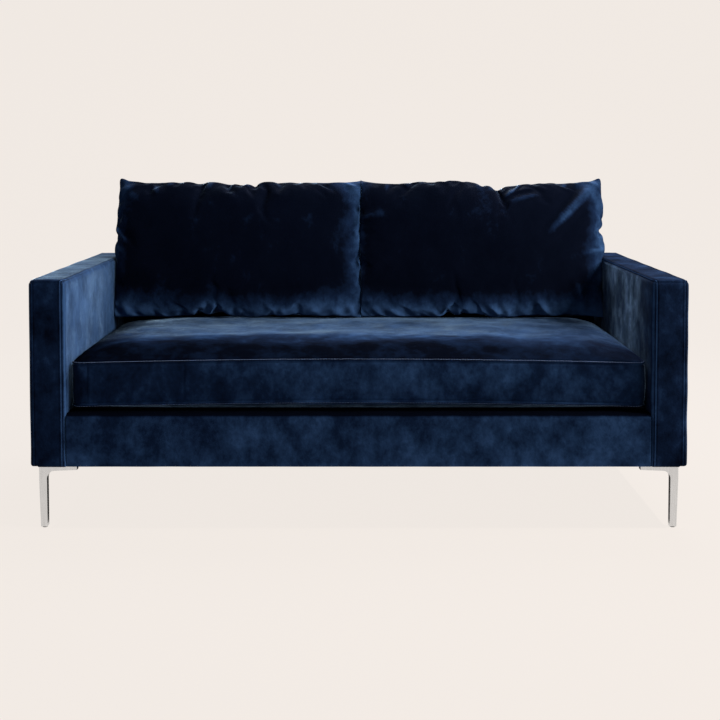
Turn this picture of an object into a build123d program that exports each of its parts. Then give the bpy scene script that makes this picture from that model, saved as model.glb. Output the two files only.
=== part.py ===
"""A two-seat track-arm sofa, as it comes apart on a bench: timber frame, sinuous springs and webbing,
padding, fitted covers, a bench seat cushion, two loose back cushions and four L-shaped metal legs.

Millimetres. X runs across the sofa, Y from its front (-) to its back (+) and Z up from the floor. The
origin is on the floor at the middle of the footprint. Left and right are as seen from the front.
"""

import math
import os

from build123d import *

os.makedirs("parts", exist_ok=True)

# ------------------------------------------------------------------ overall form
overall_width = 1680
overall_depth = 840
arm_height = 638
arm_width = 93
back_thickness = 95
back_drop = 5  # the back's top edge stands this far under the arms' tops
deck_height = 298  # top of the upholstered deck that the seat cushion lies on
leg_height = 160  # floor to the underside of the body
edge_radius = 12  # rounded edges of the arms, the rail and the back

# ------------------------------------------------------------------ layers, from the outside in
cloth = 1.5
dust_cloth = 0.8
ease = 0.3  # room between a cover and what it is pulled over
hem = 25  # how far a cover turns under the body
wadding = 1.2
arm_pad_inner = 16
arm_pad_outer = 8
arm_pad_front = 10
arm_pad_top = 16
arm_pad_stop = 12  # the arms' padding stops this far above the frame's underside
rail_recess = 3  # the front rail's cover stands this far behind the arms' fronts
rail_pad = 8
rail_pad_return = 68  # the front rail's padding runs this far back over the springs' ends
back_pad = 28
back_pad_top = 14
deck_pad = 28
panel = 3
board = 25
side_clearance = 0.5  # between the arms and what is fitted between them

# ------------------------------------------------------------------ suspension
spring_wire_radius = 1.9
spring_half_width = 50
spring_pitch = 34
spring_spacing = 165
clip_metal = 1.2
clip_width = 18
clip_foot = 18
clip_clearance = 0.05
tie_wire_radius = 1.5
tie_wire_count = 3
wire_gap = 0.1
spring_clearance = 0.2
webbing_width = 50
webbing_thickness = 1.5
upright_webs = 8
cross_webs = 2
tack_rail_height = 40
stretcher_height = 60

# ------------------------------------------------------------------ legs and fasteners
leg_inset_side = 20
leg_inset_front = 12
leg_flange_length = 97
leg_flange_end = 10
leg_flange_root = 13
leg_bar_width = 20
leg_bar_depth = 18
foot_width = 17
foot_depth = 16
leg_corner_radius = 20
leg_edge_radius = 1.2
leg_block_length = 95
leg_block_height = 40
glide_radius = 6.5
glide_thickness = 2
glide_stem_radius = 2.5
glide_stem_length = 8
screw_radius = 2.1
screw_head_radius = 4.2
screw_length = 38
screw_shares = (0.5, 0.84)  # where a flange's two screws stand along it, from the corner
screw_sink = 0.4  # a screw's head lies this deep in the flange's sloping underside
bolt_radius = 4
bolt_head_radius = 7
bolt_head_height = 5
bolt_length = 62
bolt_sink = 30  # the counterbore that a bolt's head lies in
bolt_washer_room = 2

# ------------------------------------------------------------------ cushions
cushion_lift = 1  # air between a cushion and what it rests on
seat_side_gap = 3
seat_front_inset = 28
seat_back_gap = 14
seat_cushion_height = 161
seat_corner_radius = 30
seat_edge_radius = 22
seat_core_inset = 22
seat_fibre = 17
back_cushion_height = 414
back_cushion_thickness = 150
back_cushion_lean = 8.3  # degrees that the cushions lean back
back_cushion_gap = 4  # between the two back cushions
back_cushion_side_gap = 2
back_cushion_radius = 44
back_rest_gap = 2  # between a back cushion and the back's inner face
fill_inset = 9

# ------------------------------------------------------------------ zips
zip_tape_width = 25
zip_tape = 0.8
zip_base_width = 3.6
zip_base = 1.2
zip_coil_width = 5.6
zip_coil = 1.8
zip_running_gap = 0.2
zip_wall = 1
slider_length = 12
seat_zip_margin = 150  # from each end of the seat cushion to its zip
back_zip_margin = 90
back_zip_height = 60  # up the back cushion's rear face

# ------------------------------------------------------------------ faces that pieces share
arm_out = overall_width / 2
arm_in = arm_out - arm_width
front = -overall_depth / 2
rear = overall_depth / 2
between_arms = arm_in - side_clearance
cover_bottom = leg_height + dust_cloth
frame_bottom = cover_bottom + cloth
skin = cloth + ease

arm_rear = rear - skin
arm_frame_in = arm_in + skin + arm_pad_inner + panel
arm_frame_out = arm_out - skin - arm_pad_outer - panel
arm_frame_front = front + skin + arm_pad_front
arm_frame_rear = arm_rear - skin - wadding
arm_frame_top = arm_height - skin - arm_pad_top

back_face = rear - back_thickness
back_top = arm_height - back_drop
back_frame_top = back_top - skin - back_pad_top
web_layers = 2 * webbing_thickness
back_frame_front = back_face + skin + back_pad + web_layers + spring_clearance

rail_face = front + rail_recess
rail_front = rail_face + skin + rail_pad
rail_back = rail_front + board
back_rail_front = arm_frame_rear - board
clip_loop_inside = spring_wire_radius + clip_clearance
clip_loop_outside = clip_loop_inside + clip_metal
wire_height = clip_loop_outside
spring_stack = wire_height + clip_loop_outside + spring_clearance
rail_top = deck_height - skin - deck_pad - spring_stack
wire_level = rail_top + wire_height
spring_top = rail_top + spring_stack

SIDES = (("left", -1), ("right", 1))
ENDS = (("front", -1), ("back", 1))


# ------------------------------------------------------------------ helpers
def block(x, y, z):
    """A rectangular solid that fills three spans, each given as (low, high)."""
    with BuildPart() as made:
        with BuildSketch(Plane.XY.offset(z[0])):
            with Locations(((x[0] + x[1]) / 2, (y[0] + y[1]) / 2)):
                Rectangle(x[1] - x[0], y[1] - y[0])
        extrude(amount=z[1] - z[0])
    return made.part


def across(side, low, high):
    """The span from low to high on the right-hand side, or its mirror image on the left."""
    return (low, high) if side > 0 else (-high, -low)


def cut_from(piece, *tools):
    """The piece with each tool's solids taken out of it."""
    with BuildPart() as made:
        add(piece)
        for tool in tools:
            add(tool, mode=Mode.SUBTRACT)
    return made.part


def on_side(piece, side):
    """A piece made on the right-hand side, or its mirror image on the left."""
    if side > 0:
        return piece
    with BuildPart() as made:
        add(piece)
        mirror(about=Plane.YZ, mode=Mode.REPLACE)
    return made.part


def at_end(piece, end):
    """A piece made at the front, or its mirror image at the back."""
    if end < 0:
        return piece
    with BuildPart() as made:
        add(piece)
        mirror(about=Plane.XZ, mode=Mode.REPLACE)
    return made.part


def keep(name, piece):
    """Labels a finished piece and writes it as one STEP file."""
    piece.label = name
    export_step(piece, f"parts/{name}.step")


# ------------------------------------------------------------------ fasteners
def wood_screw(radius, head_radius, length):
    """A countersunk screw, pointing up, with its head's flat face at z = 0."""
    with BuildPart() as made:
        with BuildSketch(Plane.XZ):
            with BuildLine():
                Polyline(
                    (0, 0),
                    (head_radius, 0),
                    (radius, head_radius - radius),
                    (radius, length - 2 * radius),
                    (0, length),
                    close=True,
                )
            make_face()
        revolve(axis=Axis.Z)
    return made.part


leg_outer_x = arm_out - leg_inset_side
leg_outer_y = front + leg_inset_front
flange_line_y = leg_outer_y + leg_bar_depth / 2
flange_line_x = leg_outer_x - leg_bar_depth / 2
flange_under = leg_height - leg_flange_root


def flange_underside(reach, bar):
    """The height of a flange's underside at some distance from its outer end; it is thinner at its tip."""
    slope = (leg_flange_root - leg_flange_end) / (leg_flange_length - bar)
    return flange_under + slope * (reach - bar)


def leg_screw_places():
    """The four screws of the right front leg, two on each flange."""
    for share in screw_shares:
        reach = share * leg_flange_length
        yield leg_outer_x - reach, flange_line_y, flange_underside(reach, leg_bar_width) + screw_sink
        yield flange_line_x, leg_outer_y + reach, flange_underside(reach, leg_bar_depth) + screw_sink


one_screw = wood_screw(screw_radius, screw_head_radius, screw_length)
with BuildPart() as corner_screws:
    with Locations(*leg_screw_places()):
        add(one_screw)
with BuildPart() as leg_screws:
    add(corner_screws.part)
    mirror(about=Plane.YZ)
    mirror(about=Plane.XZ)
with BuildPart() as leg_screw_holes:
    add(corner_screws.part)
    for x, y, z in leg_screw_places():
        with Locations((x, y, z / 2)):
            Cylinder(screw_head_radius, z)


def frame_bolt(head_room):
    """A hexagon-headed bolt along -X with its shank's end at x = 0; head_room widens the head's place."""
    with BuildPart() as made:
        with BuildSketch(Plane.YZ):
            Circle(bolt_radius)
        extrude(amount=bolt_length)
        with BuildSketch(Plane.YZ.offset(bolt_length)):
            if head_room:
                Circle(bolt_head_radius + head_room)
            else:
                RegularPolygon(bolt_head_radius, 6)
        extrude(amount=bolt_sink if head_room else bolt_head_height)
    return made.part


bolt_start = arm_frame_out - bolt_sink - bolt_length
rail_middle_y = (rail_front + rail_back) / 2
back_rail_middle_y = (back_rail_front + arm_frame_rear) / 2
rail_height = rail_top - frame_bottom
bolt_places = [
    (bolt_start, y, frame_bottom + share * rail_height)
    for y in (rail_middle_y, back_rail_middle_y)
    for share in (0.52, 0.8)
] + [(bolt_start, (back_frame_front + arm_frame_rear) / 2, back_frame_top - board / 2)]
with BuildPart() as right_bolts:
    with Locations(*bolt_places):
        add(frame_bolt(0))
with BuildPart() as right_bolt_holes:
    with Locations(*bolt_places):
        add(frame_bolt(bolt_washer_room))
with BuildPart() as frame_bolts:
    add(right_bolts.part)
    mirror(about=Plane.YZ)

keep("leg_screws", leg_screws.part)
keep("frame_bolts", frame_bolts.part)


def holes(side, end=None):
    """The bolt holes of one side of the frame, and of one leg's screws where an end is named."""
    bolts = on_side(right_bolt_holes.part, side)
    return [bolts] if end is None else [bolts, at_end(on_side(leg_screw_holes.part, side), end)]


every_hole = [hole for _, side in SIDES for _, end in ENDS for hole in holes(side, end)]

# ------------------------------------------------------------------ seat frame
frame_span = (-arm_frame_in, arm_frame_in)
rail_levels = (frame_bottom, rail_top)
keep("front_rail", cut_from(block(frame_span, (rail_front, rail_back), rail_levels), *every_hole))
keep("back_rail", cut_from(block(frame_span, (back_rail_front, arm_frame_rear), rail_levels), *every_hole))
stretcher_levels = (frame_bottom, frame_bottom + stretcher_height)
keep("seat_stretcher", block((-board / 2, board / 2), (rail_back, back_rail_front), stretcher_levels))

# ------------------------------------------------------------------ arm frames
post_levels = (frame_bottom, arm_frame_top - board)
arm_front_post = (arm_frame_front, arm_frame_front + board)
arm_back_post = (arm_frame_rear - board, arm_frame_rear)
between_posts = (arm_front_post[1], arm_back_post[0])
for name, side in SIDES:
    x = across(side, arm_frame_in, arm_frame_out)
    keep(f"{name}_arm_front_post", cut_from(block(x, arm_front_post, post_levels), *holes(side, -1)))
    keep(f"{name}_arm_back_post", cut_from(block(x, arm_back_post, post_levels), *holes(side, 1)))
    keep(f"{name}_arm_middle_post", block(x, (-board / 2, board / 2), (rail_top, post_levels[1])))
    top_rail = block(x, (arm_frame_front, arm_frame_rear), (arm_frame_top - board, arm_frame_top))
    keep(f"{name}_arm_top_rail", cut_from(top_rail, *holes(side)))
    rail_x = across(side, arm_frame_in, arm_frame_in + board)
    keep(f"{name}_side_rail", block(rail_x, between_posts, rail_levels))

leg_block_x = (arm_frame_in + board, arm_frame_out)
block_levels = (frame_bottom, frame_bottom + leg_block_height)
front_block_y = (arm_front_post[1], arm_front_post[1] + leg_block_length)
back_block_y = (arm_back_post[0] - leg_block_length, arm_back_post[0])
with BuildPart() as leg_blocks:
    add(cut_from(block(leg_block_x, front_block_y, block_levels), *holes(1, -1)))
    add(cut_from(block(leg_block_x, back_block_y, block_levels), *holes(1, 1)))
    mirror(about=Plane.YZ)
keep("leg_blocks", leg_blocks.part)

# ------------------------------------------------------------------ back frame
back_span_y = (back_frame_front, back_rail_front)
tack_rail_bottom = deck_height + 2
tack_rail_top = tack_rail_bottom + tack_rail_height
under_top_rail = back_frame_top - board
top_rail = block(frame_span, (back_frame_front, arm_frame_rear), (under_top_rail, back_frame_top))
keep("back_top_rail", cut_from(top_rail, *every_hole))
end_post_in = arm_frame_in - board
keep("back_tack_rail", block((-end_post_in, end_post_in), back_span_y, (tack_rail_bottom, tack_rail_top)))
keep("back_centre_post", block((-board, board), back_span_y, (tack_rail_top, under_top_rail)))
for name, side in SIDES:
    post = block(across(side, end_post_in, arm_frame_in), back_span_y, (frame_bottom, under_top_rail))
    keep(f"{name}_back_end_post", cut_from(post, *holes(side)))

# ------------------------------------------------------------------ stiff panels
deck_zone_top = spring_top + 1
back_zone_front = back_frame_front - web_layers - 1
arm_frame_y = (arm_frame_front, arm_frame_rear)
inner_panel_y = (arm_frame_front, back_zone_front)
inner_panel_z = (deck_zone_top, arm_frame_top)
for name, side in SIDES:
    inner_x = across(side, arm_frame_in - panel, arm_frame_in)
    keep(f"{name}_arm_inner_panel", block(inner_x, inner_panel_y, inner_panel_z))
    outer_x = across(side, arm_frame_out, arm_frame_out + panel)
    keep(f"{name}_arm_outer_panel", block(outer_x, arm_frame_y, (frame_bottom, arm_frame_top)))
between = (-between_arms, between_arms)
back_panel_y = (arm_frame_rear, arm_frame_rear + panel)
keep("back_outer_panel", block(between, back_panel_y, (frame_bottom, back_frame_top)))

# ------------------------------------------------------------------ springs, clips and tie wires
spring_from = rail_middle_y
spring_to = back_rail_middle_y
bar_count = round((spring_to - spring_from) / spring_pitch)
bar_step = (spring_to - spring_from) / bar_count
spring_field = 2 * (end_post_in - spring_half_width - spring_wire_radius)
spring_count = int(spring_field // spring_spacing) + 1
spring_middles = [(i - (spring_count - 1) / 2) * spring_spacing for i in range(spring_count)]

zigzag = []
for bar in range(bar_count + 1):
    start = -spring_half_width if bar % 2 == 0 else spring_half_width
    y = spring_from + bar * bar_step
    zigzag += [(start, y, wire_level), (-start, y, wire_level)]
with BuildPart() as one_spring:
    with BuildLine() as spring_path:
        FilletPolyline(*zigzag, radius=0.45 * bar_step)
    with BuildSketch(Plane(origin=zigzag[0], x_dir=(0, 1, 0), z_dir=(1, 0, 0))):
        Circle(spring_wire_radius)
    sweep()
with BuildPart() as seat_springs:
    with Locations(*[(x, 0, 0) for x in spring_middles]):
        add(one_spring.part)
keep("seat_springs", seat_springs.part)

with BuildPart() as one_clip:
    with BuildSketch(Plane.YZ.offset(-clip_width / 2)):
        with Locations((0, clip_metal / 2)):
            Rectangle(clip_foot, clip_metal)
        with Locations((0, wire_height)):
            Circle(clip_loop_outside)
            Circle(clip_loop_inside, mode=Mode.SUBTRACT)
    extrude(amount=clip_width)
    split(bisect_by=Plane.XY, keep=Keep.TOP)
with BuildPart() as spring_clips:
    with Locations(*[(x, y, rail_top) for x in spring_middles for y in (spring_from, spring_to)]):
        add(one_clip.part)
keep("spring_clips", spring_clips.part)

tie_level = wire_level - spring_wire_radius - wire_gap - tie_wire_radius
tie_step = (spring_to - spring_from) / (tie_wire_count + 1)
with BuildPart() as tie_wires:
    for row in range(1, tie_wire_count + 1):
        with BuildSketch(Plane.YZ.offset(-arm_frame_in)):
            with Locations((spring_from + row * tie_step, tie_level)):
                Circle(tie_wire_radius)
    extrude(amount=2 * arm_frame_in)
keep("tie_wires", tie_wires.part)

# ------------------------------------------------------------------ back webbing
web_front = back_frame_front - web_layers
web_levels = (tack_rail_bottom, back_frame_top)
upright_step = 2 * end_post_in / upright_webs
cross_step = (under_top_rail - tack_rail_top) / (cross_webs + 1)
with BuildPart() as back_webbing:
    for i in range(upright_webs):
        middle = (i + 0.5) * upright_step - end_post_in
        add(
            block(
                (middle - webbing_width / 2, middle + webbing_width / 2),
                (web_front + webbing_thickness, back_frame_front),
                web_levels,
            )
        )
    for i in range(cross_webs):
        middle = tack_rail_top + (i + 1) * cross_step
        add(
            block(
                frame_span,
                (web_front, web_front + webbing_thickness - wire_gap),
                (middle - webbing_width / 2, middle + webbing_width / 2),
            )
        )
keep("back_webbing", back_webbing.part)

# ------------------------------------------------------------------ arms: padding and covers
def arm_form(inset, bottom):
    """The right arm's outer form, drawn in by inset on its sides, ends and top."""
    with BuildPart() as form:
        with BuildSketch(Plane.XY.offset(bottom)):
            with Locations(((arm_in + arm_out) / 2, (front + arm_rear) / 2)):
                Rectangle(arm_width - 2 * inset, arm_rear - front - 2 * inset)
        extrude(amount=arm_height - inset - bottom)
        fillet(form.edges().filter_by(Axis.Z), radius=edge_radius - inset)
        fillet(form.faces().sort_by(Axis.Z)[-1].edges(), radius=edge_radius - inset)
    return form.part


# The seat and back frames reach the arm's timber through these gaps in its inner side.
inner_side = (arm_in - 1, arm_frame_in)
seat_gap = block(inner_side, (rail_front - 1, arm_frame_rear), (frame_bottom, deck_zone_top))
back_gap = block(inner_side, (back_zone_front, arm_frame_rear), (frame_bottom, back_frame_top + 1))
arm_inside = block(
    (arm_frame_in - panel, arm_frame_out + panel),
    (arm_frame_front, arm_frame_rear),
    (frame_bottom, arm_frame_top),
)
under_opening = block(
    (arm_in - 1, arm_out - hem),
    (front + hem, arm_rear - hem),
    (cover_bottom, frame_bottom),
)
arm_padding = cut_from(arm_form(skin, frame_bottom + arm_pad_stop), arm_inside, seat_gap, back_gap)
both_leg_holes = [at_end(leg_screw_holes.part, end) for _, end in ENDS]
arm_cover = cut_from(
    arm_form(0, cover_bottom),
    arm_form(cloth, frame_bottom),
    under_opening,
    seat_gap,
    back_gap,
    *both_leg_holes,
)
for name, side in SIDES:
    keep(f"{name}_arm_padding", on_side(arm_padding, side))
    keep(f"{name}_arm_cover", on_side(arm_cover, side))


# ------------------------------------------------------------------ front rail: padding and cover
def along_x(outline, rounded, radius, half_length):
    """A profile drawn in Y and Z, its corners near the rounded points filleted, run between the arms."""
    with BuildPart() as made:
        with BuildSketch(Plane.YZ.offset(-half_length)) as profile:
            with BuildLine():
                Polyline(*outline, close=True)
            make_face()
            for corner, size in zip(rounded, radius):
                fillet(profile.vertices().sort_by_distance(Vector(*corner))[0], radius=size)
        extrude(amount=2 * half_length)
    return made.part


pad_front = rail_face + skin
pad_end = rail_face + rail_pad_return
rail_padding = along_x(
    [
        (pad_front, frame_bottom),
        (pad_front, deck_height - skin),
        (pad_end, deck_height - skin),
        (pad_end, spring_top),
        (rail_front, spring_top),
        (rail_front, frame_bottom),
    ],
    [(pad_front, deck_height - skin)],
    [edge_radius - skin],
    between_arms,
)
rail_cover = along_x(
    [
        (rail_face, cover_bottom),
        (rail_face, deck_height),
        (pad_end, deck_height),
        (pad_end, deck_height - cloth),
        (rail_face + cloth, deck_height - cloth),
        (rail_face + cloth, frame_bottom),
        (rail_face + hem, frame_bottom),
        (rail_face + hem, cover_bottom),
    ],
    [(rail_face, deck_height), (rail_face + cloth, deck_height - cloth)],
    [edge_radius, edge_radius - cloth],
    between_arms,
)
keep("front_rail_padding", rail_padding)
keep("front_rail_cover", cut_from(rail_cover, *every_hole))

# ------------------------------------------------------------------ deck
deck_y = (pad_end + ease, back_face + skin + back_pad)
keep("deck_pad", block(between, deck_y, (spring_top, deck_height - skin)))
keep("deck_cloth", block(between, deck_y, (deck_height - cloth, deck_height)))

# ------------------------------------------------------------------ back: padding and covers
back_foot = deck_height + ease
back_pad_face = back_face + skin
back_padding = along_x(
    [
        (back_pad_face, back_foot),
        (back_pad_face, back_top - skin),
        (arm_rear, back_top - skin),
        (arm_rear, back_frame_top),
        (back_pad_face + back_pad, back_frame_top),
        (back_pad_face + back_pad, back_foot),
    ],
    [(back_pad_face, back_top - skin)],
    [edge_radius - skin],
    between_arms,
)
back_inner_cover = along_x(
    [
        (back_face, back_foot),
        (back_face, back_top),
        (arm_rear, back_top),
        (arm_rear, back_top - cloth),
        (back_face + cloth, back_top - cloth),
        (back_face + cloth, back_foot),
    ],
    [(back_face, back_top), (back_face + cloth, back_top - cloth)],
    [edge_radius, edge_radius - cloth],
    between_arms,
)
keep("back_padding", back_padding)
keep("back_inner_cover", back_inner_cover)
outside_x = arm_out - edge_radius / 2
outside_levels = (cover_bottom, back_top - edge_radius / 2)
keep("outside_back_cover", block((-outside_x, outside_x), (rear - cloth, rear), outside_levels))
dust_x = arm_out - edge_radius
dust_y = (front + edge_radius, arm_rear - edge_radius)
dust_cover = block((-dust_x, dust_x), dust_y, (leg_height, cover_bottom))
keep("dust_cover", cut_from(dust_cover, *every_hole))

# ------------------------------------------------------------------ legs and glides
taper_top = flange_under - leg_corner_radius - 2
foot_x = leg_outer_x - leg_bar_width + foot_width / 2
foot_y = leg_outer_y + leg_bar_depth - foot_depth / 2
bar_place = (leg_outer_x - leg_bar_width / 2, leg_outer_y + leg_bar_depth / 2)


def leg_flange(plane, outer, inward, bar):
    """A leg's flange and the curve under it, drawn from its outer end inwards along the plane's X."""
    root = outer + inward * bar
    middle = outer + inward * bar / 2
    tip = outer + inward * leg_flange_length
    with BuildPart() as made:
        with BuildSketch(plane) as profile:
            with BuildLine():
                Polyline(
                    (outer, leg_height),
                    (outer, flange_under),
                    (middle, flange_under),
                    (middle, taper_top),
                    (root, taper_top),
                    (root, flange_under),
                    (tip, leg_height - leg_flange_end),
                    (tip, leg_height),
                    close=True,
                )
            make_face()
            corner = profile.vertices().sort_by_distance(Vector(root, flange_under))[0]
            fillet(corner, radius=leg_corner_radius)
        extrude(amount=-leg_bar_depth)
    return made.part


with BuildPart() as right_front_leg:
    with BuildSketch(Plane.XY.offset(taper_top)):
        with Locations(bar_place):
            Rectangle(leg_bar_width, leg_bar_depth)
    extrude(amount=leg_height - taper_top)
    # below the curves the upright tapers on its two outer faces
    with BuildSketch(Plane.XY.offset(taper_top)):
        with Locations(bar_place):
            Rectangle(leg_bar_width, leg_bar_depth)
    with BuildSketch(Plane.XY.offset(glide_thickness)):
        with Locations((foot_x, foot_y)):
            Rectangle(foot_width, foot_depth)
    loft()
    fillet(right_front_leg.faces().sort_by(Axis.Z)[0].edges(), radius=leg_edge_radius)
    add(leg_flange(Plane.XZ.offset(-leg_outer_y), leg_outer_x, -1, leg_bar_width))
    add(leg_flange(Plane.YZ.offset(leg_outer_x), leg_outer_y, 1, leg_bar_depth))
    add(leg_screw_holes.part, mode=Mode.SUBTRACT)
    with Locations((foot_x, foot_y, glide_thickness + glide_stem_length / 2)):
        Cylinder(glide_stem_radius, glide_stem_length, mode=Mode.SUBTRACT)
for end_name, end in ENDS:
    for side_name, side in SIDES:
        keep(f"{end_name}_{side_name}_leg", at_end(on_side(right_front_leg.part, side), end))

glide_places = [(sx * foot_x, sy * foot_y) for sx in (1, -1) for sy in (1, -1)]
with BuildPart() as floor_glides:
    with BuildSketch():
        with Locations(*glide_places):
            Circle(glide_radius)
    extrude(amount=glide_thickness)
    with BuildSketch(Plane.XY.offset(glide_thickness)):
        with Locations(*glide_places):
            Circle(glide_stem_radius)
    extrude(amount=glide_stem_length)
keep("floor_glides", floor_glides.part)


# ------------------------------------------------------------------ zips
def zip_chain(length):
    """A closed coil zip along X on z = 0: its tape, the stitched foot of the coil, and the coil."""
    with BuildPart() as made:
        Box(length, zip_tape_width, zip_tape, align=(Align.CENTER, Align.CENTER, Align.MIN))
        with Locations((0, 0, zip_tape)):
            Box(length, zip_base_width, zip_base, align=(Align.CENTER, Align.CENTER, Align.MIN))
        with Locations((0, 0, zip_tape + zip_base)):
            Box(length, zip_coil_width, zip_coil, align=(Align.CENTER, Align.CENTER, Align.MIN))
    return made.part


def zip_slider():
    """The slider's body, a channel that wraps the coil and hooks under its two edges."""
    under = zip_tape + zip_running_gap
    coil_low = zip_tape + zip_base - zip_running_gap
    coil_high = zip_tape + zip_base + zip_coil + zip_running_gap
    with BuildPart() as made:
        with BuildSketch(Plane.YZ.offset(-slider_length / 2)):
            with Locations((0, under)):
                Rectangle(
                    zip_coil_width + 2 * (zip_running_gap + zip_wall),
                    coil_high + zip_wall - under,
                    align=(Align.CENTER, Align.MIN),
                )
            with Locations((0, coil_low)):
                Rectangle(
                    zip_coil_width + 2 * zip_running_gap,
                    coil_high - coil_low,
                    align=(Align.CENTER, Align.MIN),
                    mode=Mode.SUBTRACT,
                )
            with Locations((0, under)):
                Rectangle(
                    zip_base_width + 2 * zip_running_gap,
                    coil_low - under,
                    align=(Align.CENTER, Align.MIN),
                    mode=Mode.SUBTRACT,
                )
        extrude(amount=slider_length)
    return made.part


def fit_zip(name, place, length):
    """Writes a zip's chain and its slider, closed, on the plane that the cover's face gives."""
    keep(f"{name}_zip_chain", zip_chain(length).moved(place.location))
    closed_end = Location((length / 2 - slider_length, 0, 0))
    keep(f"{name}_zip_slider", zip_slider().moved(place.location * closed_end))


# ------------------------------------------------------------------ seat cushion
seat_x = arm_in - seat_side_gap
seat_front = front + seat_front_inset
seat_rear = back_face - seat_back_gap
seat_bottom = deck_height + cushion_lift
seat_top = seat_bottom + seat_cushion_height


def seat_form(inset):
    """The seat cushion's outer form, drawn in by inset all round."""
    with BuildPart() as form:
        with BuildSketch(Plane.XY.offset(seat_bottom + inset)):
            with Locations((0, (seat_front + seat_rear) / 2)):
                Rectangle(2 * (seat_x - inset), seat_rear - seat_front - 2 * inset)
        extrude(amount=seat_cushion_height - 2 * inset)
        fillet(form.edges().filter_by(Axis.Z), radius=seat_corner_radius - inset)
        top_and_bottom = form.faces().filter_by(Axis.Z).edges()
        fillet(top_and_bottom, radius=seat_edge_radius - inset)
    return form.part


core_x = seat_x - seat_core_inset
core_y = (seat_front + skin + seat_fibre, seat_rear - seat_core_inset)
core_z = (seat_bottom + skin + seat_fibre, seat_top - skin - seat_fibre)
seat_core = block((-core_x, core_x), core_y, core_z)
behind_core = block((-seat_x, seat_x), (core_y[1], seat_rear), (seat_bottom, seat_top))
beside_core = [
    block(across(side, core_x, seat_x), (seat_front, seat_rear), (seat_bottom, seat_top))
    for _, side in SIDES
]
keep("seat_foam_core", seat_core)
keep("seat_fibre_wrap", cut_from(seat_form(skin), seat_core, behind_core, *beside_core))
keep("seat_cushion_cover", cut_from(seat_form(0), seat_form(cloth)))
seat_zip_plane = Plane(
    origin=(0, seat_rear, (seat_bottom + seat_top) / 2),
    x_dir=(-1, 0, 0),
    z_dir=(0, 1, 0),
)
fit_zip("seat", seat_zip_plane, 2 * (seat_x - seat_zip_margin))

# ------------------------------------------------------------------ back cushions
lean = math.radians(back_cushion_lean)
half_thick = back_cushion_thickness / 2
back_cushion_width = arm_in - back_cushion_side_gap - back_cushion_gap / 2
cushion_middle_x = (arm_in - back_cushion_side_gap + back_cushion_gap / 2) / 2
# The rear bottom edge, rounded, is the lowest point, and the rear face meets the back's top edge.
lowest = half_thick * math.sin(lean) - back_cushion_radius * (math.sin(lean) + math.cos(lean) - 1)
cushion_foot_z = seat_top + cushion_lift + lowest
touch_level = back_top - edge_radius
rear_at_touch = back_face - back_rest_gap - half_thick / math.cos(lean)
cushion_foot_y = rear_at_touch - (touch_level - cushion_foot_z) * math.tan(lean)
facing = Vector(0, -math.cos(lean), math.sin(lean))


def cushion_plane(middle_x):
    """The middle plane of a back cushion, its X across, its Y up the lean and its Z to the front."""
    return Plane(origin=(middle_x, cushion_foot_y, cushion_foot_z), x_dir=(1, 0, 0), z_dir=facing)


def back_cushion_form(middle_x, inset):
    """A back cushion's outer form, drawn in by inset all round."""
    with BuildPart() as form:
        with BuildSketch(cushion_plane(middle_x)):
            with Locations((0, back_cushion_height / 2)):
                Rectangle(back_cushion_width - 2 * inset, back_cushion_height - 2 * inset)
        extrude(amount=half_thick - inset, both=True)
        fillet(form.edges(), radius=back_cushion_radius - inset)
    return form.part


for name, side in SIDES:
    middle = side * cushion_middle_x
    outer_form = back_cushion_form(middle, 0)
    keep(f"{name}_back_cushion_cover", cut_from(outer_form, back_cushion_form(middle, cloth)))
    keep(f"{name}_back_cushion_insert", back_cushion_form(middle, fill_inset))
    rear_face = cushion_plane(middle).offset(-half_thick)
    zip_plane = Plane(
        origin=rear_face.from_local_coords((0, back_zip_height, 0)),
        x_dir=(-1, 0, 0),
        z_dir=-facing,
    )
    fit_zip(f"{name}_back", zip_plane, back_cushion_width - 2 * back_zip_margin)
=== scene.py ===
"""A navy velvet two-seat sofa on satin nickel legs, made up in the order in which an upholsterer builds it:
timber frame, suspension, padding, fitted covers, legs, seat cushion, back cushions, and then the studio.

Metres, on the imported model's frame: X across, Y from front to back, Z up from the floor.
"""

import math

import bpy
import numpy as np
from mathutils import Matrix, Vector


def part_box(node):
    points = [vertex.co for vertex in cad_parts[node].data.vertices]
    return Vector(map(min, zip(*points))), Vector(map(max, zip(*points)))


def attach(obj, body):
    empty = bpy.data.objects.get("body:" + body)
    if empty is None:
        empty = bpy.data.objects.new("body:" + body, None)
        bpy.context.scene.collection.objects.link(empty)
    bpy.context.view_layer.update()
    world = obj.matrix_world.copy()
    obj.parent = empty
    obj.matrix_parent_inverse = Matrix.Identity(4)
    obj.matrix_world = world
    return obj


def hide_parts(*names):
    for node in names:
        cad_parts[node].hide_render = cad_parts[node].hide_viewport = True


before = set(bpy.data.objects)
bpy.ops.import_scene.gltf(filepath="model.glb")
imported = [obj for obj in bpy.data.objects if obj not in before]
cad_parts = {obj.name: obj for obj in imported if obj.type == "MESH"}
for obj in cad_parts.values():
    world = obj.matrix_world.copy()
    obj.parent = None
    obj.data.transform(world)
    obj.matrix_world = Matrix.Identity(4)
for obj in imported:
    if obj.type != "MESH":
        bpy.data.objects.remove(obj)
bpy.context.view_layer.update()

# ---------------------------------------------------------------------------------------------------
# Frame timber. Sawn pine rails, posts and blocks, glued and bolted. It is planed only where
# it shows nothing, so the grain runs long and pale with darker summer wood.


def linear(code):
    """An sRGB hex colour as linear red, green, blue and alpha: each channel by the sRGB curve."""
    channels = [int(code[i : i + 2], 16) / 255 for i in (0, 2, 4)]
    return (*[c / 12.92 if c <= 0.04045 else ((c + 0.055) / 1.055) ** 2.4 for c in channels], 1.0)


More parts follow.
